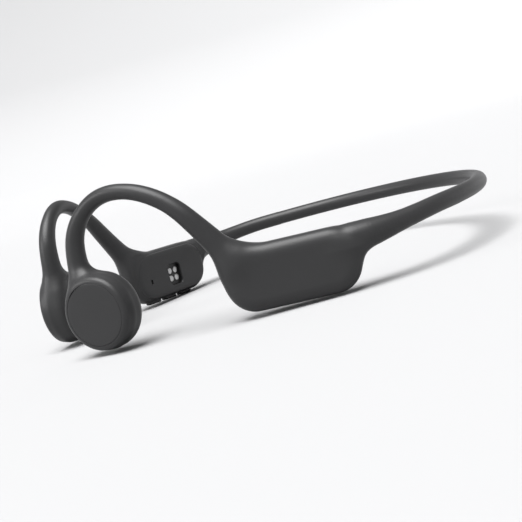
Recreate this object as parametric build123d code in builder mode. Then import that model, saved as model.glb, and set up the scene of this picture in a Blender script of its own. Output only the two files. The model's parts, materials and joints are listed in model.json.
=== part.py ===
from build123d import *
from math import cos, radians, sin, tan
import os

# Bone conduction headphones: a springy neckband that joins a left and a right unit.
# Each unit is a housing behind the ear, a hook over the ear and a pod on the cheekbone.
# Millimetres. +Z is up, the wearer faces -Y, and the wearer's left is +X.
# The right unit is laid out in the left unit's axes and mirrored in the YZ plane.

os.makedirs("parts", exist_ok=True)

# ---------------------------------------------------------------- driving dimensions

# neckband
band_radius = 67.3
band_centre_y = 3.7
band_level = 15.8
band_tube = 2.2
band_tangent_angle = 8
flex_half_angle = 10
band_straight = 15.5
band_turn_share = 0.9

# housing, behind the ear
housing_centre = (54.4, -18.8, 10.3)
housing_splay = 28
housing_pitch = -2.5
housing_length = 38
housing_height = 18
housing_thickness = 8.8
housing_corner = 7.8
housing_round = 3.2
housing_cavity_round = 1.0
housing_wall = 1.3
housing_seam = -1.8

# pod, on the cheekbone
pod_centre = (21.5, -63.7, 12.3)
pod_splay = 52
pod_radius = 11.2
pod_thickness = 9.6
pod_round = 2.7
pod_wall = 1.2
pod_seam = -2.6
pod_cavity_top = 1.9
pod_recess_floor = 2.9

# hook, over the ear: corners of its centreline from the pod to the housing
hook_tube = 2.1
hook_corners = [
    (17.6, -66.2, 19.9),
    (16.7, -66.1, 29.6),
    (19.4, -63.4, 38.4),
    (26.0, -57.6, 44.0),
    (34.6, -50.8, 43.2),
    (42.2, -43.8, 37.3),
    (46.2, -38.6, 28.6),
    (47.9, -31.6, 16.3),
]

# flared roots: where each leaves its tube, where it ends, and the half widths of its wide end
hook_root_start = (46.3, -38.2, 27.6)
hook_root_end_in_housing = (-12.5, 3.6, 0)
hook_root_half_widths = (3.3, 6.2)
pod_root_start = (16.75, -66.0, 28.6)
pod_root_end_in_pod = (-4.2, 6.0, -0.6)
pod_root_half_widths = (3.4, 4.4)
band_root_start_shift = (-1.1, -2.1, 0)
band_root_end_shift = (-0.9, -1.8, -1.4)
band_root_half_widths = (4.6, 3.3)

# frame wire and leads that run inside the hook and the neckband
wire_radius = 0.45
lead_radius = 0.4
lead_offset = 1.1

# seals between the shells
seal_width = 0.6
seal_height = 0.6
seal_inset = 0.35

# pod cap, and the switch under the left one
cap_radius = 9.1
cap_thickness = 1.5
cap_gap = 0.15
cap_round = 0.6
cap_bottom_level = 3.35
cap_travel = 0.4
switch_side = 3.0
switch_height = 0.9
plunger_radius = 0.8
touch_gap = 0.02

# bone conduction transducer
yoke_radius = 7.4
yoke_bore = 6.2
yoke_back = 0.9
yoke_rim_level = -3.0
yoke_top_level = 0.8
magnet_radius = 4.5
magnet_height = 1.5
plate_radius = 4.9
plate_height = 0.8
coil_inner = 5.15
coil_outer = 5.95
coil_top_level = -1.5
spring_outer = 9.3
spring_inner = 6.4
spring_thickness = 0.3
spring_windows = 6
spring_window = (4.2, 0.9)
spring_window_circle = 8.4

# side buttons on the underside of the right housing
button_pitch = 8.3
button_length = 6.2
button_width = 2.8
button_proud = 0.85
button_round = 0.5
button_travel = 0.4
button_gap = 0.12
button_middle = -0.5
button_row_level = 0.45
flange_extra = 0.3
flange_height = 0.6
flange_clearance = 0.12
pocket_cut_excess = 0.2
tact_length = 3.0
tact_width = 2.4
tact_height = 1.0
tact_plunger_radius = 0.6
tact_plunger_height = 0.4
switch_board_length = 25
switch_board_width = 4.2
switch_board_thickness = 0.6

# charging port on the inner face of the right housing
port_centre = (0.95, -1.45)
port_width = 6.6
port_height = 7.7
port_corner = 1.5
contact_radius = 1.1
contact_tail_radius = 0.4
contact_pitch = 2.85
contact_proud = 0.15
carrier_width = 12.0
carrier_height = 10.4
carrier_thickness = 1.2
port_magnet_radius = 0.9
port_magnet_offset = 4.8
port_magnet_depth = 0.9

# microphone behind a slot in the same face
mic_centre = (-11.7, -1.8)
mic_slot_length = 1.8
mic_slot_width = 0.8
mic_length = 3.4
mic_width = 2.6
mic_height = 1.0
mesh_thickness = 0.2

# electronics in the right housing
board_centre = (0, 1.1)
board_length = 28
board_height = 11
board_thickness = 0.8
board_level = 0.2
can_centre = (-2.5, 1.5)
can_size = (10.0, 8.0, 1.4)
memory_centre = (8.5, 1.5)
memory_size = (6.0, 5.0, 1.0)
antenna_centre = (-12.2, 1.1)
antenna_size = (2.4, 9.0, 0.8)

# battery in the left housing
cell_length = 25.0
cell_height = 12.6
cell_thickness = 4.6
cell_round = 1.2
foam_side = 9.0
guard_centre_x = 13.7
guard_length = 1.0
guard_height = 9.0
guard_width = 4.0


# ---------------------------------------------------------------- planes and paths

def splayed_plane(centre, splay, pitch):
    """A unit's own plane: X runs to the rear, Y up and Z out from the head."""
    rearward = Vector(sin(radians(splay)), cos(radians(splay)), 0) * cos(radians(pitch))
    outward = Vector(cos(radians(splay)), -sin(radians(splay)), 0)
    return Plane(origin=centre, x_dir=rearward + Vector(0, 0, sin(radians(pitch))), z_dir=outward)


def bend_radii(corners, share=0.45):
    """The largest radius at each corner that leaves room for its neighbours."""
    radii = []
    for before, corner, after in zip(corners, corners[1:], corners[2:]):
        run_in = Vector(*corner) - Vector(*before)
        run_out = Vector(*after) - Vector(*corner)
        half_turn = radians(run_in.get_angle(run_out) / 2)
        radii.append(share * min(run_in.length, run_out.length) / tan(half_turn))
    return radii


def section_plane(start, end, across):
    """A plane at start that faces end, with its X axis close to across."""
    facing = (Vector(*end) - Vector(*start)).normalized()
    side = Vector(*across)
    side = (side - facing * side.dot(facing)).normalized()
    return Plane(origin=start, x_dir=side, z_dir=facing)


housing = splayed_plane(housing_centre, housing_splay, housing_pitch)
pod = splayed_plane(pod_centre, pod_splay, 0)

with BuildLine() as hook_path:
    FilletPolyline(*hook_corners, radius=bend_radii(hook_corners))
hook_wire_path = hook_path.wire()

# The neckband leaves the housing straight, turns, and follows one arc round the neck.
tangent = radians(band_tangent_angle)
splay = radians(housing_splay)
band_exit = Vector(housing_centre[0], housing_centre[1], 0) + Vector(sin(splay), cos(splay), 0) * band_straight
arc_start = Vector(band_radius * cos(tangent), band_centre_y + band_radius * sin(tangent), 0)
gap = arc_start - band_exit
run = (gap.X * cos(tangent) + gap.Y * sin(tangent)) / sin(splay + tangent)
band_turn = band_exit + Vector(sin(splay), cos(splay), 0) * run
turn_radius = band_turn_share * (arc_start - band_turn).length / tan((splay + tangent) / 2)
band_plane = Plane.XY.offset(band_level)


def band_lead():
    """The run out of the left housing and the turn onto the arc."""
    corners = [(corner.X, corner.Y) for corner in (band_exit, band_turn, arc_start)]
    FilletPolyline(*corners, radius=turn_radius)


with BuildLine(band_plane) as band_path:
    CenterArc((0, band_centre_y), band_radius, band_tangent_angle, 180 - 2 * band_tangent_angle)
    band_lead()
    mirror(about=Plane.YZ)
band_whole_path = band_path.wire()

with BuildLine(band_plane) as band_side:
    side_turn = 90 - flex_half_angle - band_tangent_angle
    CenterArc((0, band_centre_y), band_radius, band_tangent_angle, side_turn)
    band_lead()
band_side_path = band_side.wire()

with BuildLine(band_plane) as band_back:
    CenterArc((0, band_centre_y), band_radius, 90 - flex_half_angle, 2 * flex_half_angle)
band_back_path = band_back.wire()


def start_plane(path, across):
    """The plane that a tube's section is drawn on, at the start of its path."""
    end = path @ 0 + path % 0
    return section_plane(tuple(path @ 0), tuple(end), across)


# ---------------------------------------------------------------- writing the pieces

def save(builder, name):
    builder.part.label = name
    export_step(builder.part, f"parts/{name}.step")


def save_mirrored(builder, name):
    """Write the right unit's piece, the mirror image of one laid out on the left."""
    with BuildPart() as opposite:
        mirror(builder.part, about=Plane.YZ)
    save(opposite, name)


def save_both(builder, name):
    save(builder, f"left_{name}")
    save_mirrored(builder, f"right_{name}")


# ---------------------------------------------------------------- wires and leads

hook_start = start_plane(hook_wire_path, housing.z_dir)
band_start = start_plane(band_whole_path, (0, 0, 1))

# titanium wire in each hook
with BuildPart() as hook_wire:
    with BuildSketch(hook_start):
        Circle(wire_radius)
    sweep(path=hook_wire_path)

# transducer leads beside it
with BuildPart() as hook_leads:
    with BuildSketch(hook_start):
        with Locations((lead_offset, 0)):
            Circle(lead_radius)
    sweep(path=hook_wire_path)

# titanium wire through the whole neckband
with BuildPart() as band_wire:
    with BuildSketch(band_start):
        Circle(wire_radius)
    sweep(path=band_whole_path)

# battery and audio leads that cross from side to side
with BuildPart() as band_leads:
    with BuildSketch(band_start):
        with Locations((lead_offset, 0)):
            Circle(lead_radius)
    sweep(path=band_whole_path)

save_both(hook_wire, "hook_wire")
save_both(hook_leads, "hook_leads")
save(band_wire, "neckband_wire")
save(band_leads, "neckband_leads")


# ---------------------------------------------------------------- solid envelopes

def rounded_slab(inset, edge):
    """The housing's outside, or its cavity when inset by the wall."""
    thickness = housing_thickness - 2 * inset
    with BuildPart() as slab:
        with BuildSketch(housing.offset(-thickness / 2)):
            RectangleRounded(
                housing_length - 2 * inset, housing_height - 2 * inset, housing_corner - inset,
            )
        extrude(amount=thickness)
        ends = slab.faces().sort_by(Axis(housing.origin, housing.z_dir))
        fillet(ends[0].edges() + ends[-1].edges(), radius=edge)
    return slab.part


housing_block = rounded_slab(0, housing_round)
housing_cavity = rounded_slab(housing_wall, housing_cavity_round)

with BuildPart() as pod_block:
    with BuildSketch(pod.offset(-pod_thickness / 2)):
        Circle(pod_radius)
    extrude(amount=pod_thickness)
    pod_ends = pod_block.faces().sort_by(Axis(pod.origin, pod.z_dir))
    fillet(pod_ends[0].edges() + pod_ends[-1].edges(), radius=pod_round)

with BuildPart() as pod_cavity:
    with BuildSketch(pod.offset(pod_wall - pod_thickness / 2)):
        Circle(pod_radius - pod_wall)
    extrude(amount=pod_cavity_top + pod_thickness / 2 - pod_wall)
    cavity_floor = pod_cavity.faces().sort_by(Axis(pod.origin, pod.z_dir))[0]
    fillet(cavity_floor.edges(), radius=pod_round - pod_wall)


# ---------------------------------------------------------------- hook and neckband skins

def flare(narrow, wide, narrow_radius, wide_size, across):
    """A root that swells from the tube into a unit."""
    narrow_plane = section_plane(narrow, wide, across)
    reach = (Vector(*wide) - Vector(*narrow)).length
    with BuildSketch(narrow_plane) as narrow_end:
        Circle(narrow_radius)
    with BuildSketch(narrow_plane.offset(reach)) as wide_end:
        Ellipse(*wide_size)
    loft(sections=[narrow_end.sketch.face(), wide_end.sketch.face()])


level = Vector(0, 0, band_level)
hook_root_end = tuple(housing.from_local_coords(hook_root_end_in_housing))
pod_root_end = tuple(pod.from_local_coords(pod_root_end_in_pod))
band_root_start = tuple(band_turn + level + Vector(*band_root_start_shift))
band_root_end = tuple(band_exit + level + Vector(*band_root_end_shift))

# silicone skin of each hook
with BuildPart() as hook_sleeve:
    with BuildSketch(hook_start):
        Circle(hook_tube)
    sweep(path=hook_wire_path)
    flare(hook_root_start, hook_root_end, hook_tube, hook_root_half_widths, housing.z_dir)
    flare(pod_root_start, pod_root_end, hook_tube, pod_root_half_widths, pod.z_dir)
    add(housing_block, mode=Mode.SUBTRACT)
    add(pod_block.part, mode=Mode.SUBTRACT)
    add(hook_wire.part, mode=Mode.SUBTRACT)
    add(hook_leads.part, mode=Mode.SUBTRACT)

# silicone skin of the neckband, in a stiff side piece for each unit and a flexing middle
with BuildPart() as band_sleeve:
    with BuildSketch(start_plane(band_side_path, (0, 0, 1))):
        Circle(band_tube)
    sweep(path=band_side_path)
    flare(band_root_start, band_root_end, band_tube, band_root_half_widths, (0, 0, 1))
    add(housing_block, mode=Mode.SUBTRACT)
    add(band_wire.part, mode=Mode.SUBTRACT)
    add(band_leads.part, mode=Mode.SUBTRACT)

with BuildPart() as band_middle:
    with BuildSketch(start_plane(band_back_path, (0, 0, 1))):
        Circle(band_tube)
    sweep(path=band_back_path)
    add(band_wire.part, mode=Mode.SUBTRACT)
    add(band_leads.part, mode=Mode.SUBTRACT)

save_both(hook_sleeve, "hook_sleeve")
save_both(band_sleeve, "neckband_sleeve")
save(band_middle, "neckband_flex_sleeve")


# ---------------------------------------------------------------- housing shells

with BuildPart() as housing_seal:
    with BuildSketch(housing.offset(housing_seam)):
        for inset, mode in ((seal_inset, Mode.ADD), (seal_inset + seal_width, Mode.SUBTRACT)):
            RectangleRounded(
                housing_length - 2 * inset, housing_height - 2 * inset,
                housing_corner - inset, mode=mode,
            )
    extrude(amount=seal_height)

with BuildPart() as left_cover:
    add(housing_block)
    split(bisect_by=housing.offset(housing_seam), keep=Keep.TOP)
    add(housing_cavity, mode=Mode.SUBTRACT)
    add(housing_seal.part, mode=Mode.SUBTRACT)
    for inner_line in (hook_wire, hook_leads, band_wire, band_leads):
        add(inner_line.part, mode=Mode.SUBTRACT)

with BuildPart() as left_base:
    add(housing_block)
    split(bisect_by=housing.offset(housing_seam), keep=Keep.BOTTOM)
    add(housing_cavity, mode=Mode.SUBTRACT)

save(left_cover, "left_housing_cover")
save(left_base, "left_housing_base")
save_both(housing_seal, "housing_seal")

cavity_depth = housing_thickness / 2 - housing_wall
underside = -housing_height / 2
underside_inner = underside + housing_wall


def upward_plane(height):
    """A plane square to the housing's height: X to the rear, Y towards the head."""
    origin = housing.from_local_coords((0, height, 0))
    return Plane(origin=origin, x_dir=housing.x_dir, z_dir=housing.y_dir)


button_spots = [
    (button_middle + place * button_pitch, -button_row_level) for place in (-1, 0, 1)
]

with BuildPart() as right_cover:
    add(left_cover.part)
    with BuildSketch(upward_plane(underside)):
        with Locations(*button_spots):
            Rectangle(button_length + 2 * button_gap, button_width + 2 * button_gap)
    extrude(amount=housing_wall + pocket_cut_excess, mode=Mode.SUBTRACT)

with BuildPart() as right_base:
    add(left_base.part)
    with BuildSketch(housing.offset(-housing_thickness / 2)):
        with Locations(port_centre):
            RectangleRounded(port_width, port_height, port_corner)
        with Locations(mic_centre):
            SlotOverall(mic_slot_length, mic_slot_width, rotation=90)
    extrude(amount=housing_wall, mode=Mode.SUBTRACT)

save_mirrored(right_cover, "right_housing_cover")
save_mirrored(right_base, "right_housing_base")


# ---------------------------------------------------------------- side buttons

flange_bottom = underside_inner + flange_clearance
flange_top = flange_bottom + flange_height
plunger_tip = flange_top + button_travel + touch_gap
tact_bottom = plunger_tip + tact_plunger_height
tact_top = tact_bottom + tact_height

for name, spot in zip(("volume_up_button", "volume_down_button", "mode_button"), button_spots):
    with BuildPart() as button:
        with BuildSketch(upward_plane(underside - button_proud)):
            with Locations(spot):
                RectangleRounded(button_length, button_width, button_round)
        extrude(amount=flange_bottom - underside + button_proud)
        button_face = button.faces().sort_by(Axis(housing.origin, housing.y_dir))[0]
        fillet(button_face.edges(), radius=button_round / 2)
        with BuildSketch(upward_plane(flange_bottom)):
            with Locations(spot):
                Rectangle(button_length + 2 * flange_extra, button_width + 2 * flange_extra)
        extrude(amount=flange_height)
    save_mirrored(button, name)

with BuildPart() as tact_switches:
    with BuildSketch(upward_plane(tact_bottom)):
        with Locations(*button_spots):
            Rectangle(tact_length, tact_width)
    extrude(amount=tact_height)
    with BuildSketch(upward_plane(plunger_tip)):
        with Locations(*button_spots):
            Circle(tact_plunger_radius)
    extrude(amount=tact_plunger_height)

with BuildPart() as switch_board:
    with BuildSketch(upward_plane(tact_top)):
        with Locations((button_middle, -button_row_level)):
            Rectangle(switch_board_length, switch_board_width)
    extrude(amount=switch_board_thickness)

save_mirrored(tact_switches, "button_switches")
save_mirrored(switch_board, "switch_board")


# ---------------------------------------------------------------- charging port

carrier_level = -cavity_depth
contact_top = carrier_level + carrier_thickness

with Locations(port_centre):
    contact_grid = GridLocations(contact_pitch, contact_pitch, 2, 2)
    contact_spots = [(place.position.X, place.position.Y) for place in contact_grid.locations]

magnet_spots = [(port_centre[0] + side * port_magnet_offset, port_centre[1]) for side in (-1, 1)]

with BuildPart() as contact_carrier:
    with BuildSketch(housing.offset(carrier_level)):
        with Locations(port_centre):
            Rectangle(carrier_width, carrier_height)
        with Locations(*contact_spots):
            Circle(contact_radius, mode=Mode.SUBTRACT)
    extrude(amount=carrier_thickness)
    with BuildSketch(housing.offset(contact_top - port_magnet_depth)):
        with Locations(*magnet_spots):
            Circle(port_magnet_radius)
    extrude(amount=port_magnet_depth, mode=Mode.SUBTRACT)

with BuildPart() as charge_contacts:
    with BuildSketch(housing.offset(carrier_level - contact_proud)):
        with Locations(*contact_spots):
            Circle(contact_radius)
    extrude(amount=carrier_thickness + contact_proud)
    with BuildSketch(housing.offset(contact_top)):
        with Locations(*contact_spots):
            Circle(contact_tail_radius)
    extrude(amount=board_level - contact_top)

with BuildPart() as port_magnets:
    with BuildSketch(housing.offset(contact_top - port_magnet_depth)):
        with Locations(*magnet_spots):
            Circle(port_magnet_radius)
    extrude(amount=port_magnet_depth)

save_mirrored(contact_carrier, "charge_contact_carrier")
save_mirrored(charge_contacts, "charge_contacts")
save_mirrored(port_magnets, "charge_magnets")


# ---------------------------------------------------------------- electronics and battery

def plate(builder_plane, centre, length, height, thickness):
    """A flat block that stands on one plane of the housing."""
    with BuildSketch(builder_plane) as outline:
        with Locations(centre):
            Rectangle(length, height)
    extrude(outline.sketch, amount=thickness)


with BuildPart() as main_board:
    plate(housing.offset(board_level), board_centre, board_length, board_height, board_thickness)

with BuildPart() as processor_can:
    plate(housing.offset(board_level + board_thickness), can_centre, *can_size)

with BuildPart() as memory_chip:
    plate(housing.offset(board_level + board_thickness), memory_centre, *memory_size)

with BuildPart() as antenna:
    plate(housing.offset(board_level + board_thickness), antenna_centre, *antenna_size)

with BuildPart() as microphone_mesh:
    plate(housing.offset(-cavity_depth), mic_centre, mic_length, mic_width, mesh_thickness)

with BuildPart() as microphone:
    plate(housing.offset(mesh_thickness - cavity_depth), mic_centre, mic_length, mic_width,
          mic_height)

save_mirrored(main_board, "main_board")
save_mirrored(processor_can, "processor_can")
save_mirrored(memory_chip, "memory_chip")
save_mirrored(antenna, "antenna")
save_mirrored(microphone_mesh, "microphone_mesh")
save_mirrored(microphone, "microphone")

with BuildPart() as battery_cell:
    plate(housing.offset(-cell_thickness / 2), (0, 0), cell_length, cell_height, cell_thickness)
    long_edges = battery_cell.edges().filter_by(Axis(housing.origin, housing.x_dir))
    fillet(long_edges, radius=cell_round)

with BuildPart() as battery_foam:
    plate(housing.offset(cell_thickness / 2), (0, 0), foam_side, foam_side,
          cavity_depth - cell_thickness / 2)
    plate(housing.offset(-cavity_depth), (0, 0), foam_side, foam_side,
          cavity_depth - cell_thickness / 2)

with BuildPart() as battery_board:
    plate(housing.offset(-guard_width / 2), (guard_centre_x, 0), guard_length, guard_height,
          guard_width)

save(battery_cell, "battery_cell")
save(battery_foam, "battery_foam")
save(battery_board, "battery_board")


# ---------------------------------------------------------------- pods

with BuildPart() as pod_seal:
    with BuildSketch(pod.offset(pod_seam)):
        Circle(pod_radius - seal_inset)
        Circle(pod_radius - seal_inset - seal_width, mode=Mode.SUBTRACT)
    extrude(amount=seal_height)

with BuildPart() as right_shell:
    add(pod_block.part)
    split(bisect_by=pod.offset(pod_seam), keep=Keep.TOP)
    add(pod_cavity.part, mode=Mode.SUBTRACT)
    add(pod_seal.part, mode=Mode.SUBTRACT)
    add(hook_wire.part, mode=Mode.SUBTRACT)
    add(hook_leads.part, mode=Mode.SUBTRACT)
    with BuildSketch(pod.offset(pod_recess_floor)):
        Circle(cap_radius + cap_gap)
    extrude(amount=pod_thickness, mode=Mode.SUBTRACT)

with BuildPart() as left_shell:
    add(right_shell.part)
    with BuildSketch(pod.offset(pod_cavity_top)):
        Circle(plunger_radius + cap_gap)
    extrude(amount=pod_recess_floor - pod_cavity_top, mode=Mode.SUBTRACT)

with BuildPart() as skin_shell:
    add(pod_block.part)
    split(bisect_by=pod.offset(pod_seam), keep=Keep.BOTTOM)
    add(pod_cavity.part, mode=Mode.SUBTRACT)

save(left_shell, "left_pod_shell")
save_mirrored(right_shell, "right_pod_shell")
save_both(skin_shell, "pod_skin_shell")
save_both(pod_seal, "pod_seal")

with BuildPart() as button_cap:
    with BuildSketch(pod.offset(cap_bottom_level)):
        Circle(cap_radius)
    extrude(amount=cap_thickness)
    cap_face = button_cap.faces().sort_by(Axis(pod.origin, pod.z_dir))[-1]
    fillet(cap_face.edges(), radius=cap_round)

# the right cap is glued down on the recess floor
with BuildPart() as fixed_cap:
    with BuildSketch(pod.offset(pod_recess_floor)):
        Circle(cap_radius)
    extrude(amount=cap_thickness + cap_bottom_level - pod_recess_floor)
    fixed_face = fixed_cap.faces().sort_by(Axis(pod.origin, pod.z_dir))[-1]
    fillet(fixed_face.edges(), radius=cap_round)

with BuildPart() as pod_switch:
    with BuildSketch(pod.offset(pod_cavity_top - switch_height)):
        Rectangle(switch_side, switch_side)
    extrude(amount=switch_height)
    with BuildSketch(pod.offset(pod_cavity_top)):
        Circle(plunger_radius)
    extrude(amount=cap_bottom_level - cap_travel - touch_gap - pod_cavity_top)

save(button_cap, "multifunction_button_cap")
save(pod_switch, "multifunction_switch")
save_mirrored(fixed_cap, "right_pod_cap")


# ---------------------------------------------------------------- transducers

skin_floor = pod_wall - pod_thickness / 2
yoke_floor = yoke_top_level - yoke_back

with BuildPart() as yoke:
    with BuildSketch(pod.offset(yoke_rim_level)):
        Circle(yoke_radius)
    extrude(amount=yoke_top_level - yoke_rim_level)
    with BuildSketch(pod.offset(yoke_rim_level)):
        Circle(yoke_bore)
    extrude(amount=yoke_floor - yoke_rim_level, mode=Mode.SUBTRACT)

with BuildPart() as magnet:
    with BuildSketch(pod.offset(yoke_floor - magnet_height)):
        Circle(magnet_radius)
    extrude(amount=magnet_height)

with BuildPart() as pole_plate:
    with BuildSketch(pod.offset(yoke_floor - magnet_height - plate_height)):
        Circle(plate_radius)
    extrude(amount=plate_height)

with BuildPart() as voice_coil:
    with BuildSketch(pod.offset(skin_floor)):
        Circle(coil_outer)
        Circle(coil_inner, mode=Mode.SUBTRACT)
    extrude(amount=coil_top_level - skin_floor)

with BuildPart() as coil_spring:
    with BuildSketch(pod.offset(yoke_rim_level - spring_thickness)):
        Circle(spring_outer)
        Circle(spring_inner, mode=Mode.SUBTRACT)
        with PolarLocations(spring_window_circle, spring_windows):
            SlotOverall(*spring_window, rotation=90, mode=Mode.SUBTRACT)
    extrude(amount=spring_thickness)

save_both(yoke, "transducer_yoke")
save_both(magnet, "transducer_magnet")
save_both(pole_plate, "transducer_pole_plate")
save_both(voice_coil, "voice_coil")
save_both(coil_spring, "transducer_spring")
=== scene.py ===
# %% [markdown]
# Bone conduction headphones: a springy neckband with a unit at each end. A unit is a housing
# behind the ear, a hook over the ear and a round pod on the cheekbone, all under one soft skin.
# The CAD model is loaded first, as a fixed frame. Every visible piece is then made around it, in
# metres. The pieces of the units ride on its bodies, so that the joints move them too; the
# neckband's pieces stay in the shared frame.

# %% Load the frame
import bpy, bmesh, json, math
import numpy as np
from mathutils import Matrix, Vector


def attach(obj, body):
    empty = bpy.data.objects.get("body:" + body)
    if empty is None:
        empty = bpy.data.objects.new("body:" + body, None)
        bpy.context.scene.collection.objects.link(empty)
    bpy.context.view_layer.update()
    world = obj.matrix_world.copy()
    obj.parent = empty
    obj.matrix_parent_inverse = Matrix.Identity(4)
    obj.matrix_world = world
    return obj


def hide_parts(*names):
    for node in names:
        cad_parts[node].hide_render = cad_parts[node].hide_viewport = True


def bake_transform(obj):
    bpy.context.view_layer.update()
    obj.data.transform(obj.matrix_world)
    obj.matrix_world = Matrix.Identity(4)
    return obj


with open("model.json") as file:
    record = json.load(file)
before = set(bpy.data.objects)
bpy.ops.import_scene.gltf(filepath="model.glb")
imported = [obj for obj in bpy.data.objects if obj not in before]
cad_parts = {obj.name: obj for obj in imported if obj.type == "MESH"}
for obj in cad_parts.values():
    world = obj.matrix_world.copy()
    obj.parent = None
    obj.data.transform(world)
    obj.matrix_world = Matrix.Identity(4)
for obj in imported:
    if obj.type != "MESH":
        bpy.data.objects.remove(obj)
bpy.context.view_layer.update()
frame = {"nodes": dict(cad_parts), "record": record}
nodes = frame["nodes"]
scene = bpy.context.scene
MM = 0.001

# %% [markdown]
# The camera stands in front of the left unit, close, and only a little above the neckband's own
# level. It is rolled, so that the band climbs to the right in the view. Each of these is a named
# value: where the camera stands, what it looks at, how far it leans and how long its lens is.

# %% Camera
camera_place = Vector((307.1, -135.6, 44.0)) * MM
camera_target = Vector((0.0, -3.8, 8.9)) * MM
camera_roll = math.radians(-16.1)
camera_lens = 71.3

camera = bpy.data.objects.new("camera", bpy.data.cameras.new("camera"))
scene.collection.objects.link(camera)
camera.data.lens = camera_lens
camera.data.sensor_width = 36
camera.data.clip_start = 0.01
aim = (camera_target - camera_place).to_track_quat("-Z", "Y").to_matrix().to_4x4()
camera.matrix_world = Matrix.Translation(camera_place) @ aim @ Matrix.Rotation(camera_roll, 4, "Z")
scene.camera = camera
print("camera to target:", round((camera_target - camera_place).length, 3), "m")

# %% [markdown]
# The headphones are held level over a plain pale floor, and touch it with one button. A flat plane
# would show its far edge, so the floor is a shallow dish turned round the vertical axis: flat under
# the object and rising far away, where it meets the sky without a line. The main light is a wide,
# soft sun high above the front of the object. It falls evenly on the whole floor, where a lamp
# nearby would leave a bright pool, and it gives the sheen along the top edges of the dark skin. A
# second, low sun comes from the front of the head, and a pale sky fills in the rest.

# %% Floor and lights
FLOOR_PROFILE = [(1.2, 0), (2.4, 0), (3.2, 0.12), (3.7, 0.5), (4.0, 1.3)]
FLOOR_SIDES = 64
FLOOR_COLOUR = (0.34, 0.34, 0.344, 1)
SKY_STRENGTH = 0.3


def floor_material():
    material = bpy.data.materials.new("pale_floor")
    material.use_nodes = True
    shader = material.node_tree.nodes["Principled BSDF"]
    shader.inputs["Base Color"].default_value = FLOOR_COLOUR
    shader.inputs["Roughness"].default_value = 0.8
    shader.inputs["Specular IOR Level"].default_value = 0.2
    return material


def lathe_floor(profile, sides):
    """Turns (radius, height) points round the Z axis."""
    mesh = bmesh.new()
    rings = []
    for radius, height in profile:
        angles = [2 * math.pi * side / sides for side in range(sides)]
        rings.append([mesh.verts.new((radius * math.cos(a), radius * math.sin(a), height))
                      for a in angles])
    for inner, outer in zip(rings, rings[1:]):
        for side in range(sides):
            after = (side + 1) % sides
            mesh.faces.new((inner[side], outer[side], outer[after], inner[after]))
    mesh.faces.new(rings[0])
    data = bpy.data.meshes.new("floor")
    mesh.to_mesh(data)
    mesh.free()
    data.polygons.foreach_set("use_smooth", [True] * len(data.polygons))
    return data


floor = bpy.data.objects.new("floor", lathe_floor(FLOOR_PROFILE, FLOOR_SIDES))
floor.data.materials.append(floor_material())
scene.collection.objects.link(floor)


def soft_sun(name, comes_from, strength, width):
    """A sun whose disc is so wide that its shadows have no edge."""
    light = bpy.data.lights.new(name, "SUN")
    light.energy = strength
    light.angle = math.radians(width)
    holder = bpy.data.objects.new(name, light)
    scene.collection.objects.link(holder)
    holder.rotation_euler = Vector(comes_from).to_track_quat("Z", "Y").to_euler()


soft_sun("overhead", comes_from=(0.20, -0.25, 1.0), strength=7.6, width=50)
soft_sun("side", comes_from=(-0.15, -1.0, 0.35), strength=2.2, width=34)

world = bpy.data.worlds.new("studio")
world.use_nodes = True
world.node_tree.nodes["Background"].inputs["Color"].default_value = (1, 1, 1, 1)
world.node_tree.nodes["Background"].inputs["Strength"].default_value = SKY_STRENGTH
scene.world = world
scene.view_settings.view_transform = "Standard"

# %% [markdown]
# Each unit has its own plane, the one that its parts were laid out on: X runs to the rear of the
# head, Y up and Z out from the head. The left unit is made first and the right one is its mirror
# image, so the centres, the splay angles and the pitch are written once, for the left.

# %% The planes of a unit
def unit_plane(centre, splay, pitch=0.0):
    """Rows are the plane's X, Y and Z directions, and the last row is its centre, in mm."""
    splay, pitch = math.radians(splay), math.radians(pitch)
    level_run = math.cos(pitch)
    rear = Vector((math.sin(splay) * level_run, math.cos(splay) * level_run, math.sin(pitch)))
    out = Vector((math.cos(splay), -math.sin(splay), 0))
    return np.array([rear, out.cross(rear), out, centre])


housing = unit_plane((54.4, -18.8, 10.3), splay=28, pitch=-2.5)
pod = unit_plane((21.5, -63.7, 12.3), splay=52)


def on_plane(points, plane):
    """Row-frame points, in mm, in a plane's own coordinates."""
    return (points - plane[3]) @ plane[:3].T


def off_plane(points, plane):
    """A plane's own coordinates, in mm, back in the row frame."""
    return np.asarray(points, float) @ plane[:3] + plane[3]


print("housing centre", housing[3], "pod centre", pod[3])

# %% [markdown]
# Two lines carry the shape: the hook's and the neckband's. The hook's is a smooth NURBS spline
# through the same points that its CAD tube was laid out on. The neckband is one arc round the
# neck, which a cubic blend leads into the housing's own direction. Both are then plain lists of
# closely spaced points.

# %% Centrelines
HOOK_POINTS = [
    (17.6, -66.2, 19.9), (16.7, -66.1, 29.6), (19.4, -63.4, 38.4), (26.0, -57.6, 44.0),
    (34.6, -50.8, 43.2), (42.2, -43.8, 37.3), (46.2, -38.6, 28.6), (47.9, -31.6, 16.3),
]
BAND_ARC_RADIUS = 67.3
BAND_CENTRE_Y = 3.7
BAND_LEVEL = 15.8
# how thick the hook is at shares of its length, and the band at distances from its start
HOOK_SHARES = [0, 0.12, 0.3, 0.5, 0.68, 0.82, 1.0]
HOOK_RADII = [3.3, 2.75, 2.2, 2.1, 2.35, 2.85, 3.7]
BAND_DISTANCES = [0, 4, 8, 12, 16, 20, 26, 34, 44]
BAND_RADII = [4.2, 4.25, 4.0, 3.5, 3.05, 2.75, 2.58, 2.52, 2.5]
ROOT_LENGTH = 44


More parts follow.
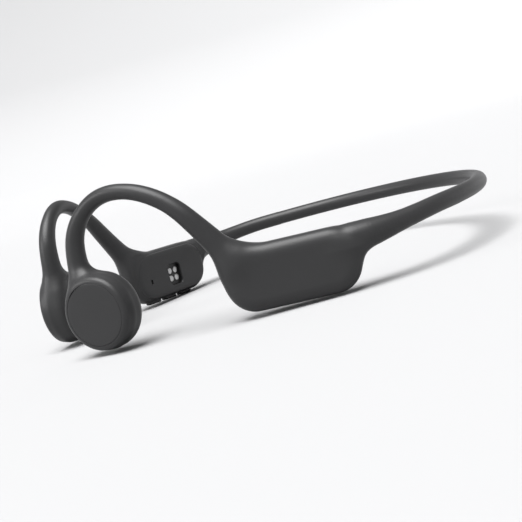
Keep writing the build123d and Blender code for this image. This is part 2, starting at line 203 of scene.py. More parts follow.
def spline_points(corners, detail=10):
    """Points along a NURBS spline of order 3 with these control points."""
    curve = bpy.data.curves.new("line", "CURVE")
    curve.dimensions = "3D"
    curve.resolution_u = detail
    spline = curve.splines.new("NURBS")
    spline.points.add(len(corners) - 1)
    for point, corner in zip(spline.points, corners):
        point.co = (*corner, 1)
    spline.order_u = 3
    spline.use_endpoint_u = True
    holder = bpy.data.objects.new("line", curve)
    data = bpy.data.meshes.new_from_object(holder)
    points = np.array([v.co for v in data.vertices])
    bpy.data.objects.remove(holder)
    bpy.data.curves.remove(curve)
    bpy.data.meshes.remove(data)
    return points


def band_point(turn):
    """A point of the arc round the neck, at an angle from the wearer's left."""
    turn = math.radians(turn)
    across, back = BAND_ARC_RADIUS * math.cos(turn), BAND_ARC_RADIUS * math.sin(turn)
    return np.array([across, BAND_CENTRE_Y + back, BAND_LEVEL])


def band_half(root=(14.0, 4.5), join=22.0, pull=1.05, lead_steps=40, arc_steps=40):
    """The left half of the neckband's line, from inside the housing to the middle of the back."""
    start = off_plane([(*root, 0.0)], housing)[0]
    end = band_point(join)
    reach = np.linalg.norm(end - start)
    leave = housing[0] * reach * pull
    turn = math.radians(join)
    arrive = np.array([-math.sin(turn), math.cos(turn), 0]) * reach * pull
    share = np.linspace(0, 1, lead_steps)[:, None]
    lead = ((2 * share**3 - 3 * share**2 + 1) * start + (share**3 - 2 * share**2 + share) * leave
            + (3 * share**2 - 2 * share**3) * end + (share**3 - share**2) * arrive)
    arc = np.array([band_point(turn) for turn in np.linspace(join, 90, arc_steps)[1:]])
    return np.vstack([lead, arc])


def run_lengths(points):
    """How far along the line each point is."""
    steps = np.linalg.norm(np.diff(points, axis=0), axis=1)
    return np.concatenate([[0], np.cumsum(steps)])


hook_line = spline_points(HOOK_POINTS)
hook_share = run_lengths(hook_line) / run_lengths(hook_line)[-1]
hook_radii = np.interp(hook_share, HOOK_SHARES, HOOK_RADII)

band_line = band_half()
band_distance = run_lengths(band_line)
band_radii = np.interp(band_distance, BAND_DISTANCES, BAND_RADII)
in_root = band_distance < ROOT_LENGTH
root_line, root_radii = band_line[in_root], band_radii[in_root]
print("hook, mm:", round(run_lengths(hook_line)[-1], 1))
print("half of the band, mm:", round(band_distance[-1], 1))

# %% [markdown]
# The hook flares into the housing and into the pod with no seam, as rubber poured in one mould
# does. Joining tubes and boxes leaves creases, so the skin is described as a distance field
# instead: a function that says how far a point is from each simple shape, where a smooth minimum
# melts two shapes together over a chosen width. A wide melt makes the flares, and a narrow one
# leaves the soft crease round the raised face of the housing.

# %% Distance fields, in mm
def to_tube(points, line, radii):
    """Distance to a tube of changing radius."""
    best = np.full(len(points), np.inf)
    for a, b, r0, r1 in zip(line[:-1], line[1:], radii[:-1], radii[1:]):
        along = b - a
        share = np.clip((points - a) @ along / (along @ along), 0, 1)
        away = points - a - share[:, None] * along
        best = np.minimum(best, np.sqrt((away * away).sum(1)) - (r0 + (r1 - r0) * share))
    return best


def thickened(flat, level, half_thickness, edge):
    """A flat outline's distance and a height, made into a slab with rounded edges."""
    side, end = flat + edge, np.abs(level) - (half_thickness - edge)
    outside = np.sqrt(np.maximum(side, 0) ** 2 + np.maximum(end, 0) ** 2)
    return outside + np.minimum(np.maximum(side, end), 0) - edge


def to_slab(points, plane, centre, half, corner, edge, stretch=1.0):
    """Distance to a slab whose outline is a rounded rectangle. A stretch of its height makes
    edges that are rounder across the face than through it, as on a pillow."""
    local = (on_plane(points, plane) - centre) * (1, 1, stretch)
    reach = np.abs(local[:, :2]) - (np.array(half[:2]) - corner)
    flat = np.sqrt((np.maximum(reach, 0) ** 2).sum(1)) + np.minimum(reach.max(1), 0) - corner
    return thickened(flat, local[:, 2], half[2] * stretch, edge)


def to_disc(points, plane, centre, radius, half_thickness, edge):
    """Distance to a round slab."""
    local = on_plane(points, plane) - centre
    flat = np.sqrt((local[:, :2] ** 2).sum(1)) - radius
    return thickened(flat, local[:, 2], half_thickness, edge)


def melt(a, b, width):
    """The smooth minimum of two distances."""
    share = np.clip(0.5 + 0.5 * (b - a) / width, 0, 1)
    return b * (1 - share) + a * share - width * share * (1 - share)


def housing_frame(points):
    return to_slab(points, housing, centre=(0, 0, -0.2), half=(18.9, 8.9, 3.5), corner=7.8,
                   edge=3.0)


def housing_face(points):
    return to_slab(points, housing, centre=(0.1, -0.15, 1.9), half=(17.9, 8.75, 2.6), corner=7.2,
                   edge=3.85, stretch=1.5)


def pod_body(points):
    return to_disc(points, pod, centre=(0, 0, -0.3), radius=11.2, half_thickness=4.2, edge=3.2)


def pod_rim(points):
    return to_disc(points, pod, centre=(0, 0, 2.6), radius=10.7, half_thickness=2.2, edge=1.55)


def pressed_flat(field, local, depth, reach, width=1.0):
    """Keeps the skin from swelling past a depth on the side that faces the head. The limit
    falls away outside the reach, so that a hook or a band leaves it freely."""
    spare = np.maximum(np.abs(local[:, :2]) - reach, 0).sum(1)
    return -melt(-field, local[:, 2] + depth + spare, width)


HOOK_FLARE, POD_FLARE = 7.0, 5.0
FACE_CREASE, RIM_CREASE, UNITS_CREASE = 1.3, 1.2, 0.4
# the band's root flares widely low on the housing, and hardly at all along its top edge
ROOT_FLARE_HEIGHTS, ROOT_FLARES = [2.5, 6.5], [5.0, 1.0]
HOUSING_DEPTH, HOUSING_REACH = 4.15, (18.0, 8.5)
POD_DEPTH, POD_REACH = 4.5, (9.5, 9.5)


def skin_field(points):
    """The whole left skin: hook, housing, root of the neckband and pod."""
    hook = to_tube(points, hook_line, hook_radii)
    upper = melt(hook, housing_frame(points), HOOK_FLARE)
    local = on_plane(points, housing)
    root_flare = np.interp(local[:, 1], ROOT_FLARE_HEIGHTS, ROOT_FLARES)
    upper = melt(upper, to_tube(points, root_line, root_radii), root_flare)
    upper = melt(upper, housing_face(points), FACE_CREASE)
    upper = pressed_flat(upper, local, HOUSING_DEPTH, HOUSING_REACH)
    lower = melt(hook, pod_body(points), POD_FLARE)
    lower = pressed_flat(lower, on_plane(points, pod), POD_DEPTH, POD_REACH)
    return melt(upper, melt(lower, pod_rim(points), RIM_CREASE), UNITS_CREASE)


probe = np.array([housing[3], pod[3], [0.0, 0.0, 0.0]])
print("field inside the housing, inside the pod and far away:", skin_field(probe).round(1))

# %% [markdown]
# A field has no mesh, so one is grown on it. Rough shapes are joined, Blender's Remesh modifier
# turns them into one even net of quads, and each vertex then walks down the field's slope until
# it lies on the surface. A little smoothing between the walks keeps the quads even. One round of
# subdivision and a last walk give the final density.

# %% Growing a mesh on a field
VOXEL = 0.6
ASKEW = Vector((0.31, 0.52, 0.79))  # no line runs along this direction


def new_object(name, data):
    holder = bpy.data.objects.new(name, data)
    scene.collection.objects.link(holder)
    return holder


def rough_tube(mesh, line, radii, sides=10):
    """Rings of points along a line, as a closed tube."""
    rings = []
    for index, (centre, radius) in enumerate(zip(line, radii)):
        before, after = line[max(index - 1, 0)], line[min(index + 1, len(line) - 1)]
        along = Vector(after - before).normalized()
        side = along.cross(ASKEW).normalized()
        up = along.cross(side)
        turns = [2 * math.pi * k / sides for k in range(sides)]
        spokes = [side * math.cos(t) + up * math.sin(t) for t in turns]
        rings.append([mesh.verts.new(Vector(centre) + spoke * float(radius)) for spoke in spokes])
    for first, second in zip(rings, rings[1:]):
        for k in range(sides):
            mesh.faces.new((first[k], first[(k + 1) % sides], second[(k + 1) % sides], second[k]))
    mesh.faces.new(rings[0][::-1])
    mesh.faces.new(rings[-1])


def rough_block(mesh, plane, centre, half, round_sides):
    """A box or a round drum on a plane."""
    turn = Matrix(plane[:3].T.tolist()).to_4x4()
    place = Matrix.Translation(Vector(off_plane([centre], plane)[0])) @ turn
    if round_sides:
        bmesh.ops.create_cone(mesh, cap_ends=True, segments=round_sides, radius1=half[0],
                              radius2=half[0], depth=2 * half[2], matrix=place)
    else:
        bmesh.ops.create_cube(mesh, size=2, matrix=place @ Matrix.Diagonal((*half, 1)))


def evaluated(holder):
    """The object's mesh with its modifiers applied, as a new mesh."""
    bpy.context.view_layer.update()
    graph = bpy.context.evaluated_depsgraph_get()
    return bpy.data.meshes.new_from_object(holder.evaluated_get(graph))


def with_modifier(data, kind, **settings):
    """One modifier applied to a mesh, through an object that is then removed."""
    holder = new_object("working", data)
    modifier = holder.modifiers.new("step", kind)
    for key, value in settings.items():
        setattr(modifier, key, value)
    result = evaluated(holder)
    bpy.data.objects.remove(holder)
    return result


def coordinates(data):
    flat = np.empty(len(data.vertices) * 3)
    data.vertices.foreach_get("co", flat)
    return flat.reshape(-1, 3)


def walk(points, field, steps=2, probe_gap=0.02, least_slope=0.05, longest=1.5):
    """Moves points down the field's slope onto its surface."""
    axes = np.eye(3) * probe_gap
    for _ in range(steps):
        height = field(points)
        slope = np.stack([(field(points + axis) - height) / probe_gap for axis in axes], 1)
        size = np.maximum((slope**2).sum(1), least_slope)
        points = points - slope * np.clip(height / size, -longest, longest)[:, None]
    return points


def relax(points, edges, amount=0.5):
    """Moves each point towards the middle of its neighbours."""
    total, count = np.zeros_like(points), np.zeros(len(points))
    for here, there in ((edges[:, 0], edges[:, 1]), (edges[:, 1], edges[:, 0])):
        np.add.at(total, here, points[there])
        np.add.at(count, here, 1)
    return points + amount * (total / count[:, None] - points)


def grow(name, rough, field, voxel, rounds=3):
    """A finished mesh, in metres, grown on a field from a rough bmesh, in mm."""
    data = bpy.data.meshes.new("rough")
    rough.to_mesh(data)
    rough.free()
    data = with_modifier(data, "REMESH", mode="VOXEL", voxel_size=voxel)
    edges = np.array([edge.vertices[:] for edge in data.edges])
    points = coordinates(data)
    for _ in range(rounds):
        points = relax(walk(points, field), edges)
    points = walk(points, field)
    data.vertices.foreach_set("co", points.ravel())
    data.update()
    data = with_modifier(data, "SUBSURF", levels=1, render_levels=1)
    points = walk(coordinates(data), field)
    data.vertices.foreach_set("co", (points * MM).ravel())
    data.polygons.foreach_set("use_smooth", [True] * len(data.polygons))
    data.update()
    data.name = name
    return data


rough = bmesh.new()
rough_tube(rough, hook_line, hook_radii)
rough_tube(rough, root_line, root_radii)
rough_block(rough, housing, centre=(0, 0, 0.3), half=(17, 8, 3.8), round_sides=0)
rough_block(rough, pod, centre=(0, 0, 0), half=(10.5, 10.5, 4.3), round_sides=24)
skin_mesh = grow("left_skin", rough, skin_field, VOXEL)
print("left skin:", len(skin_mesh.polygons), "quads")

# %% [markdown]
# Shader maths reads best as plain expressions. The class below wraps one socket of a material's
# tree: a sum, difference or product of threads adds its Math nodes, numbers included, and one
# method adds any other node from its type, its settings and the values or links of its sockets.

# %% A small language for shaders
class Thread:
    """One output socket. Arithmetic on threads adds Math nodes to the tree."""

    def __init__(self, tree, socket=None):
        self.tree, self.socket = tree, socket

    def node(self, kind, settings=None, output=0, **values):
        """Any node: its settings, then its inputs, named with _ for a space or i0, i1 by place."""
        made = self.tree.nodes.new(kind)
        for key, value in (settings or {}).items():
            setattr(made, key, value)
        for key, value in values.items():
            target = made.inputs[int(key[1:]) if key[1:].isdigit() else key.replace("_", " ")]
            if isinstance(value, Thread):
                self.tree.links.new(value.socket, target)
            else:
                target.default_value = value
        return Thread(self.tree, made.outputs[output])

    def maths(self, operation, first, second):
        return self.node("ShaderNodeMath", {"operation": operation}, i0=first, i1=second)

    def __add__(self, other):
        return self.maths("ADD", self, other)

    def __sub__(self, other):
        return self.maths("SUBTRACT", self, other)

    def __mul__(self, other):
        return self.maths("MULTIPLY", self, other)

    __radd__ = __add__
    __rmul__ = __mul__


# %% [markdown]
# Patterns come before the finishes that use them. They all read Object coordinates, which are
# metres in the shared frame here, so a noise of scale 4000 has features a quarter of a millimetre
# across. Stretching the coordinates along one direction turns grains into drawn lines.

# %% Patterns
def place(start):
    return start.node("ShaderNodeTexCoord", output="Object")


def grains(start, scale, detail=2.0, where=None):
    """Soft specks from 0 to 1."""
    return start.node("ShaderNodeTexNoise", {"noise_dimensions": "3D"}, output=0,
                      Vector=where or place(start), Scale=scale, Detail=detail)


def cells(start, scale):
    """Distance to the middle of the nearest cell, for pebbled and foamed surfaces."""
    return start.node("ShaderNodeTexVoronoi", {"feature": "F1"}, output="Distance",
                      Vector=place(start), Scale=scale)


def drawn(start, scale, stretch):
    """Fine lines that run along the direction in which the coordinates are squeezed."""
    squeezed = start.node("ShaderNodeMapping", Vector=place(start), Scale=stretch)
    return grains(start, scale, 3.0, squeezed)


def turns(start, scale):
    """Fine parallel windings, stacked along the vertical."""
    return start.node("ShaderNodeTexWave", {"wave_type": "BANDS", "bands_direction": "Z"},
                      output=1, Vector=place(start), Scale=scale, Distortion=0.4)


def tracks(start, scale):
    """The straight copper tracks of a circuit board, under its coat of solder mask."""
    return start.node("ShaderNodeTexBrick", {"offset": 0.5}, output=1,
                      Vector=place(start), Scale=scale)


# %% [markdown]
# A finish is a dark and a light shade of one colour, mixed by a pattern, with a roughness that
# moves a little with the same pattern and a bump that gives the surface its touch. Values that
# are the same all over stay on the shader's own sockets. The soft skin is the one that matters
# most: silicone has no gloss of its own, only a broad sheen, and a fine even grain from its mould.

# %% Finishes
def shade(grey, warm=0.0, cool=0.0):
    return (grey + warm, grey, grey + cool)


BUMP_HEIGHT = 0.00005


def finish(name, dark, light, pattern, roughness, spread=0.06, metallic=0.0, bump=0.0, level=0.5,
           touch=None):
    """A material from two shades and a pattern. `touch` is the pattern that the bump follows."""
    material = bpy.data.materials.new(name)
    material.use_nodes = True
    tree = material.node_tree
    shader = tree.nodes["Principled BSDF"]
    start = Thread(tree)
    mask = pattern(start)
    colour = start.node("ShaderNodeMix", {"data_type": "RGBA"}, output=2, i0=mask,
                        i6=(*dark, 1), i7=(*light, 1))
    tree.links.new(colour.socket, shader.inputs["Base Color"])
    rough_value = roughness + spread * (mask - 0.5)
    tree.links.new(rough_value.socket, shader.inputs["Roughness"])
    shader.inputs["Metallic"].default_value = metallic
    shader.inputs["Specular IOR Level"].default_value = level
    if bump:
        height = (touch or pattern)(start)
        normal = start.node("ShaderNodeBump", Strength=bump, Distance=BUMP_HEIGHT, Height=height)
        tree.links.new(normal.socket, shader.inputs["Normal"])
    return material


def fine_grain(start):
    """The even grain of a spark-eroded mould, with a faint, wide unevenness under it."""
    return 0.55 * grains(start, 4200, 2.0) + 0.45 * grains(start, 90, 1.0)


RECIPES = {
    "silicone_skin": dict(
        dark=shade(0.0200, 0, 0.0006), light=shade(0.0270, 0, 0.0008), pattern=fine_grain,
        roughness=0.40, spread=0.10, bump=0.35, level=0.26,
        touch=lambda s: grains(s, 5200, 2.0)),
    "moulded_shell": dict(
        dark=shade(0.0195, 0, 0.0006), light=shade(0.0265, 0, 0.0008), pattern=fine_grain,
        roughness=0.38, spread=0.10, bump=0.3, level=0.26, touch=lambda s: cells(s, 5200)),
    "button_plastic": dict(
        dark=shade(0.006), light=shade(0.010), pattern=lambda s: grains(s, 3000, 2.0),
        roughness=0.38, spread=0.10, bump=0.25, level=0.5),
    "seal_rubber": dict(
        dark=shade(0.008), light=shade(0.014), pattern=lambda s: grains(s, 2500, 3.0),
        roughness=0.75, spread=0.10, bump=0.3, level=0.3),
    "titanium_wire": dict(
        dark=shade(0.40, 0.02, -0.02), light=shade(0.60, 0.02, -0.02),
        pattern=lambda s: drawn(s, 3000, (0.05, 0.05, 1)), roughness=0.32, spread=0.16,
        metallic=1.0, bump=0.15),
    "lead_jacket": dict(
        dark=(0.10, 0.012, 0.010), light=(0.16, 0.020, 0.016),
        pattern=lambda s: grains(s, 1800, 2.0), roughness=0.45, spread=0.08, bump=0.1),
    "yoke_steel": dict(
        dark=shade(0.42, 0.01, 0), light=shade(0.58, 0.01, 0),
        pattern=lambda s: drawn(s, 2600, (1, 1, 0.1)), roughness=0.3, spread=0.12, metallic=1.0,
        bump=0.1),
    "magnet_plating": dict(
        dark=shade(0.60, 0.01, 0), light=shade(0.70, 0.01, 0),
        pattern=lambda s: grains(s, 700, 3.0), roughness=0.16, spread=0.10, metallic=1.0,
        bump=0.08),
    "coil_copper": dict(
        dark=(0.38, 0.13, 0.05), light=(0.72, 0.30, 0.14), pattern=lambda s: turns(s, 1400),
        roughness=0.3, spread=0.10, metallic=0.9, bump=0.6),
    "spring_steel": dict(
        dark=shade(0.46, 0.01, 0), light=shade(0.62, 0.01, 0),
        pattern=lambda s: drawn(s, 2200, (0.1, 1, 1)), roughness=0.26, spread=0.12, metallic=1.0,
        bump=0.1),
    "switch_black": dict(
        dark=shade(0.010), light=shade(0.018), pattern=lambda s: grains(s, 2400, 2.0),
        roughness=0.5, spread=0.10, bump=0.2),
    "board_green": dict(
        dark=(0.006, 0.05, 0.018), light=(0.012, 0.10, 0.036), pattern=lambda s: tracks(s, 260),
        roughness=0.35, spread=0.08, bump=0.3),
    "can_steel": dict(
        dark=shade(0.48), light=shade(0.62), pattern=lambda s: grains(s, 1200, 4.0),
        roughness=0.34, spread=0.14, metallic=1.0, bump=0.1),
    "antenna_ceramic": dict(
        dark=shade(0.50, 0.03, -0.04), light=shade(0.62, 0.03, -0.04),
        pattern=lambda s: grains(s, 1500, 3.0), roughness=0.3, spread=0.08, bump=0.1),
    "cell_wrap": dict(
        dark=shade(0.40, 0, 0.01), light=shade(0.56, 0, 0.01),
        pattern=lambda s: drawn(s, 1500, (1, 0.1, 1)), roughness=0.38, spread=0.12, metallic=0.9,
        bump=0.2),
    "foam": dict(
        dark=shade(0.010), light=shade(0.030), pattern=lambda s: cells(s, 2600), roughness=0.9,
        spread=0.08, bump=0.9, level=0.2),
    "carrier_plastic": dict(
        dark=shade(0.004), light=shade(0.007), pattern=lambda s: grains(s, 3200, 2.0),
        roughness=0.4, spread=0.10, bump=0.2, level=0.4),
    "contact_plating": dict(
        dark=shade(0.42), light=shade(0.52), pattern=lambda s: grains(s, 2600, 3.0),
        roughness=0.42, spread=0.12, metallic=0.85, bump=0.15),
}
FINISHES = {name: finish(name, **recipe) for name, recipe in RECIPES.items()}

for part in frame["record"]["subparts"]:
    carried = nodes[part["node"]]
    carried.data.materials.clear()
    carried.data.materials.append(FINISHES[part["material_slot"]])
# The microphone mesh gets a near-black finish in place of its steel one: painted shade, standing in
# for the dark inside its slot.
painted_slot_shade = finish("painted_slot_shade", dark=shade(0.003), light=shade(0.02),
                       pattern=lambda s: cells(s, 9000), roughness=0.6, spread=0.1, metallic=0.3,
                       bump=0.5, level=0.3)
nodes["microphone_mesh"].data.materials[0] = painted_slot_shade
print(len(FINISHES) + 1, "finishes on", len(nodes), "CAD nodes")

# %% [markdown]
# Caps, pads, lids and buttons are all moulded plates with a rounded edge. Each is drawn as a
# contour map is: one outline repeated at rising levels, a little smaller each time. A rounded
# rectangle and a circle are the same outline, since a circle only has the largest corners. The
# tools that cut recesses are made in the same way. Those for the window, the slot and the button
# pockets change width at the mouth, which leaves a chamfer. A level is a pair: inset, then height.

# %% Stacked outlines
CORNER_STEPS = 10
LEAST_CORNER = 0.05


def outline(half, corner, inset):
    """Points of a rounded rectangle, in mm."""
    half = np.array(half, float) - inset
    corner = max(corner - inset, LEAST_CORNER)
    round_shape = max(half) - corner < LEAST_CORNER
    points = []
    for quarter, (side, end) in enumerate([(1, 1), (-1, 1), (-1, -1), (1, -1)]):
        middle = (half - corner) * (side, end)
        for step in range(CORNER_STEPS if round_shape else CORNER_STEPS + 1):
            turn = math.pi / 2 * (quarter + step / CORNER_STEPS)
            points.append(middle + corner * np.array([math.cos(turn), math.sin(turn)]))
    return np.array(points)


def stacked(name, plane, middle, half, corner, levels):
    """A closed mesh from (inset, level) pairs on a plane, in metres."""
    mesh = bmesh.new()
    rings = []
    for inset, level in levels:
        flat = outline(half, corner, inset) + middle
        solid = off_plane(np.column_stack([flat, np.full(len(flat), level)]), plane) * MM
        rings.append([mesh.verts.new(point) for point in solid])
    for first, second in zip(rings, rings[1:]):
        for k in range(len(first)):
            after = (k + 1) % len(first)
            mesh.faces.new((first[k], first[after], second[after], second[k]))
    mesh.faces.new(rings[0])
    mesh.faces.new(rings[-1])
    bmesh.ops.recalc_face_normals(mesh, faces=mesh.faces)
    data = bpy.data.meshes.new(name)
    mesh.to_mesh(data)
    mesh.free()
    return data


def round_stack(name, plane, radius, levels):
    """A closed round mesh from (inset, level) pairs, on the middle of a plane."""
    return stacked(name, plane, (0, 0), (radius, radius), radius, levels)


def crisp(data, angle=35):
    """Smooth shading that stops at real edges."""
    data.polygons.foreach_set("use_smooth", [True] * len(data.polygons))
    data.set_sharp_from_angle(angle=math.radians(angle))
    return data


def mirrored(data):
    """The same mesh for the other side of the head."""
    other = data.copy()
    other.transform(Matrix.Diagonal((-1, 1, 1, 1)))
    other.flip_normals()
    return other


def carve(data, *tools):
    """The mesh with each tool's shape cut out of it."""
    for tool in tools:
        cutter = new_object("cutter", tool)
        data = with_modifier(data, "BOOLEAN", operation="DIFFERENCE", solver="EXACT", object=cutter)
        bpy.data.objects.remove(cutter)
    return crisp(data)


def dressed(name, data, finish_name):
    """A new object in one material."""
    data.name = name
    data.materials.clear()
    data.materials.append(FINISHES[finish_name])
    return new_object(name, data)


def show(name, data, finish_name, body, *stands_for):
    """A finished piece: its material, its body and the CAD nodes that it stands for."""
    piece = dressed(name, data, finish_name)
    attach(piece, body)
    if stands_for:
        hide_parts(*stands_for)
    return piece


# %% [markdown]
# The pod's outer face is a button on the left side and a plain cap on the right. Both are shallow
# domes that sit in a straight recess, with a hairline gap round them. The space under the cap is
# a little deeper than the 0.4 mm by which the button sinks.

# %% Caps and their recess
CAP_RADIUS = 9.1
CAP_GAP = 0.06
cap_levels = [(0.2, 3.36), (0, 3.5), (0, 4.72), (0.03, 4.78), (0.1, 4.81), (0.35, 4.84),
              (1.4, 4.87), (3.5, 4.89), (7, 4.9)]
recess_levels = [(0, 2.9), (0, 6.5)]

cap_mesh = crisp(round_stack("cap", pod, CAP_RADIUS, cap_levels))
recess = round_stack("recess", pod, CAP_RADIUS + CAP_GAP, recess_levels)
show("multifunction_cap", cap_mesh, "moulded_shell",
     "multifunction_button", "multifunction_button_cap")
show("right_cap", mirrored(cap_mesh), "moulded_shell", "right_unit", "right_pod_cap")

# %% [markdown]
# The face of the pod that lies on the cheek is a separate pad, pressed into the skin. It is domed
# by a tenth of a millimetre or so, and rolls over at its rim, because a sharp rim would be felt.

# %% Cheek pads
PAD_RADIUS = 9.1
pad_levels = [(0, -3.4), (0, -4.3), (0.15, -4.55), (0.5, -4.74), (1.1, -4.83), (2.2, -4.87),
              (4.5, -4.9), (7.5, -4.91)]

pad_mesh = crisp(round_stack("cheek_pad", pod, PAD_RADIUS, pad_levels))
show("left_cheek_pad", pad_mesh, "silicone_skin", "left_unit", "left_pod_skin_shell")
show("right_cheek_pad", mirrored(pad_mesh), "silicone_skin", "right_unit", "right_pod_skin_shell")
print("pad faces:", len(pad_mesh.polygons))

# %% [markdown]
# The inner side of each housing is closed by a lid with a pillow edge. The right one has two
# openings: a window over the four charging contacts, and a slot for the microphone. The tools
# that cut them are also used on the skin behind, so that the CAD carrier and mesh show through.

# %% Lids, charging window and microphone slot
LID_HALF = (17.5, 7.95)
LID_CORNER = 7.1
lid_levels = [(0, -1.5), (0, -3.45), (0.12, -3.85), (0.42, -4.16), (0.95, -4.35), (1.7, -4.42),
              (4.0, -4.44)]
WINDOW_MIDDLE, WINDOW_HALF, WINDOW_CORNER = (0.95, -1.45), (3.3, 3.85), 1.5
SLOT_MIDDLE, SLOT_HALF, SLOT_CORNER = (-11.7, -1.8), (0.4, 0.9), 0.39
opening_levels = [(-0.35, -5.5), (-0.35, -4.7), (0, -4.25), (0, -2.9)]
narrow_levels = [(-0.12, -5.5), (-0.12, -4.5), (0, -4.35), (0, -2.9)]

lid_mesh = crisp(stacked("lid", housing, (0, 0), LID_HALF, LID_CORNER, lid_levels))
window = stacked("window", housing, WINDOW_MIDDLE, WINDOW_HALF, WINDOW_CORNER, opening_levels)
slot_cut = stacked("slot", housing, SLOT_MIDDLE, SLOT_HALF, SLOT_CORNER, narrow_levels)
right_lid_mesh = mirrored(carve(lid_mesh.copy(), window, slot_cut))
show("left_lid", lid_mesh, "moulded_shell", "left_unit", "left_housing_base")
show("right_lid", right_lid_mesh, "moulded_shell", "right_unit", "right_housing_base")
print("right lid faces:", len(right_lid_mesh.polygons))

# %% [markdown]
# Three buttons stand out of the right housing's underside, in a row along it. Each rides on its
# own body and slides into a pocket in the skin. Their plane is the housing's, with its Y and Z
# exchanged, so that levels now run up through the housing.

# %% Side buttons
underside = np.array([housing[0], housing[2], housing[1], housing[3]])
BUTTON_SPOTS = {"volume_up": -8.8, "volume_down": -0.5, "mode": 7.8}
BUTTON_ROW = 0.45
BUTTON_HALF, BUTTON_CORNER = (3.1, 1.4), 0.95
POCKET_HALF, POCKET_CORNER = (3.22, 1.52), 1.07
button_levels = [(0.1, -7.35), (0, -7.45), (0, -9.35), (0.07, -9.6), (0.25, -9.76), (0.55, -9.83),
                 (1.0, -9.85)]
pocket_levels = [(-0.3, -12), (-0.3, -9.0), (0, -8.62), (0, -6.85)]

pockets = []
for body, along in BUTTON_SPOTS.items():
    spot = (along, BUTTON_ROW)
    button = stacked(body, underside, spot, BUTTON_HALF, BUTTON_CORNER, button_levels)
    show(body + "_key", mirrored(crisp(button)), "button_plastic", body, body + "_button")
    pockets.append(stacked("pocket", underside, spot, POCKET_HALF, POCKET_CORNER, pocket_levels))
print("buttons:", list(BUTTON_SPOTS))

# %% [markdown]
# Now the two skins. The left one only gets its recess for the cap. The right one is carved while
# it still lies on the left, where all the tools are, and is mirrored last.

# %% Skins
carved_right = mirrored(carve(skin_mesh.copy(), recess.copy(), window, slot_cut, *pockets))
show("left_skin", carve(skin_mesh, recess), "silicone_skin", "left_unit",
     "left_hook_sleeve", "left_housing_cover", "left_pod_shell")
show("right_skin", carved_right, "silicone_skin", "right_unit",
     "right_hook_sleeve", "right_housing_cover", "right_pod_shell")
print("right skin:", len(carved_right.polygons), "faces")

# %% [markdown]
# A small language for Geometry Nodes keeps the trees short. The first is a round tube along a
# line, which is what the neckband is. Its named inputs are the radius at both ends, the slimmer
# radius between them, and the length over which one passes into the other. The tree measures how
# far each point is from the nearer end, so the taper is even on both sides whatever the line is.

# %% A tree for tapered tubes
class Growth:
    """A Geometry Nodes tree under construction, with its named inputs."""

    def __init__(self, name, sizes):
        self.tree = bpy.data.node_groups.new(name, "GeometryNodeTree")
        self.keys = {}
        panel = self.tree.interface
        panel.new_socket("Geometry", in_out="OUTPUT", socket_type="NodeSocketGeometry")
        panel.new_socket("Geometry", in_out="INPUT", socket_type="NodeSocketGeometry")
        for label, kind in sizes.items():
            socket = panel.new_socket(label, in_out="INPUT", socket_type="NodeSocket" + kind)
            self.keys[label] = socket.identifier
        self.given = self.tree.nodes.new("NodeGroupInput")

    def take(self, label):
        return self.given.outputs[label]

    def add(self, kind, values, settings=None, output=0):
        """A node with its settings and its inputs, by name or by place. Returns one output."""
        made = self.tree.nodes.new(kind)
        for key, value in (settings or {}).items():
            setattr(made, key, value)
        for key, value in values.items():
            if isinstance(value, bpy.types.NodeSocket):
                self.tree.links.new(value, made.inputs[key])
            else:
                made.inputs[key].default_value = value
        return made.outputs[output]

    def close(self, geometry):
        """Ends the tree with real geometry that carries its material."""
        real = self.add("GeometryNodeRealizeInstances", {"Geometry": geometry})
        painted = self.add("GeometryNodeSetMaterial",
                           {"Geometry": real, "Material": self.take("Material")})
        end = self.tree.nodes.new("NodeGroupOutput")
        self.tree.links.new(painted, end.inputs[0])

    def run(self, data, **sizes):
        """The mesh that the tree makes from another one. Labels are written with _ for a space."""
        holder = new_object("working", data)
        modifier = holder.modifiers.new("grow", "NODES")
        modifier.node_group = self.tree
        for label, value in sizes.items():
            modifier[self.keys[label.replace("_", " ")]] = value
        result = evaluated(holder)
        holder.modifiers.remove(modifier)
        bpy.data.objects.remove(holder)
        return result


tube = Growth("tapered_tube", {"Material": "Material", "End radius": "Float",
                               "Middle radius": "Float", "Taper length": "Float", "Sides": "Int"})
path = tube.add("GeometryNodeMeshToCurve", {"Mesh": tube.take("Geometry")})
spline = tube.tree.nodes.new("GeometryNodeSplineParameter")
whole = tube.add("GeometryNodeSplineLength", {}, output="Length")
gone = spline.outputs["Length"]
to_go = tube.add("ShaderNodeMath", {0: whole, 1: gone}, {"operation": "SUBTRACT"})
from_end = tube.add("ShaderNodeMath", {0: gone, 1: to_go}, {"operation": "MINIMUM"})
radius = tube.add("ShaderNodeMapRange", {0: from_end, 1: 0.0, 2: tube.take("Taper length"),
                                         3: tube.take("End radius"), 4: tube.take("Middle radius")},
                  {"interpolation_type": "SMOOTHSTEP"})
profile = tube.add("GeometryNodeCurvePrimitiveCircle",
                   {"Resolution": tube.take("Sides"), "Radius": 1.0})
wall = tube.add("GeometryNodeCurveToMesh", {"Curve": path, "Profile Curve": profile,
                                            "Scale": radius, "Fill Caps": True})
tube.close(tube.add("GeometryNodeSetShadeSmooth", {"Geometry": wall}))
print("tube tree:", len(tube.tree.nodes), "nodes, inputs", list(tube.keys))

# %% [markdown]
# The neckband is one soft tube from root to root, with a springy titanium wire and a jacketed lead
# inside. It is the one part that bends, but these three pieces ride on no body: they stay fixed in
# the shared frame.

# %% Neckband
ROUND_EDGE = 60
# distances along the band, in mm, at which the tube and what is inside it begin
SLEEVE_START, INNER_START = 33, 6
SLEEVE_RADII, SLEEVE_TAPER = (2.3, 2.45), 6
WIRE_RADIUS, LEAD_RADIUS, LEAD_DROP = 0.45, 0.4, 1.1


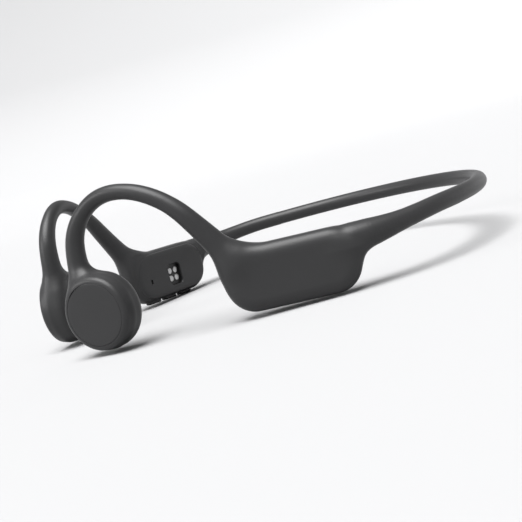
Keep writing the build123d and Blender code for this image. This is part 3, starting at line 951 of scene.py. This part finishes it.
def band_run(first, shift=(0, 0, 0)):
    """The band's line as a chain of edges, from `first` mm along it to the same on the far side."""
    half = band_line[band_distance >= first] + shift
    chain = np.vstack([half, half[-2::-1] * (-1, 1, 1)])
    data = bpy.data.meshes.new("chain")
    data.from_pydata((chain * MM).tolist(), [(k, k + 1) for k in range(len(chain) - 1)], [])
    return data


def band_tube(finish_name, first, end_radius, middle_radius, sides, taper=1, shift=(0, 0, 0)):
    """A tube along the band. Lengths are in mm."""
    return tube.run(band_run(first, shift), Material=FINISHES[finish_name],
                    End_radius=end_radius * MM, Middle_radius=middle_radius * MM,
                    Taper_length=taper * MM, Sides=sides)


def show_bent(name, data, finish_name, *stands_for):
    """A piece of the neckband, with its transform baked into the mesh; it rides on no body."""
    piece = dressed(name, crisp(data, ROUND_EDGE), finish_name)
    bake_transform(piece)
    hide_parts(*stands_for)
    return piece


sleeve = band_tube("silicone_skin", SLEEVE_START, *SLEEVE_RADII, sides=40, taper=SLEEVE_TAPER)
wire = band_tube("titanium_wire", INNER_START, WIRE_RADIUS, WIRE_RADIUS, sides=14)
lead = band_tube("lead_jacket", INNER_START, LEAD_RADIUS, LEAD_RADIUS, sides=12,
                 shift=(0, 0, -LEAD_DROP))
show_bent("neckband", sleeve, "silicone_skin",
          "left_neckband_sleeve", "neckband_flex_sleeve", "right_neckband_sleeve")
show_bent("neckband_core", wire, "titanium_wire", "neckband_wire")
show_bent("neckband_cores", lead, "lead_jacket", "neckband_leads")

# %% [markdown]
# The charging contacts are four equal pins in a square, which is work for instances. The tree
# puts its input, one pin, on every point of a grid and makes the copies real. The pin and the
# grid lie flat at the origin, and the finished mesh is then laid on the housing's plane.

# %% Charging contacts
pins = Growth("pin_square", {"Material": "Material", "Pitch": "Float", "Rows": "Int"})
gaps = pins.add("ShaderNodeMath", {0: pins.take("Rows"), 1: -1.0}, {"operation": "ADD"})
side_length = pins.add("ShaderNodeMath", {0: gaps, 1: pins.take("Pitch")},
                       {"operation": "MULTIPLY"})
grid = pins.add("GeometryNodeMeshGrid", {
    "Size X": side_length, "Size Y": side_length,
    "Vertices X": pins.take("Rows"), "Vertices Y": pins.take("Rows")})
pins.close(pins.add("GeometryNodeInstanceOnPoints",
                    {"Points": grid, "Instance": pins.take("Geometry")}))

PIN_RADIUS = 1.1
PIN_PITCH = 2.85
pin_levels = [(0, -2.95), (0, -3.2), (0.06, -3.27), (0.2, -3.31), (0.55, -3.34)]
flat_plane = np.array([[1, 0, 0], [0, 1, 0], [0, 0, 1], [0, 0, 0]], float)
pin = crisp(round_stack("pin", flat_plane, PIN_RADIUS, pin_levels), ROUND_EDGE)
contacts = pins.run(pin, Material=FINISHES["contact_plating"], Pitch=PIN_PITCH * MM, Rows=2)
window_place = off_plane([(*WINDOW_MIDDLE, 0)], housing)[0] * MM
to_housing = Matrix(housing[:3].T.tolist()).to_4x4()
contacts.transform(Matrix.Translation(Vector(window_place)) @ to_housing)
show("charging_contacts", mirrored(contacts), "contact_plating", "right_unit", "charge_contacts")
print("contacts:", len(contacts.polygons), "faces")
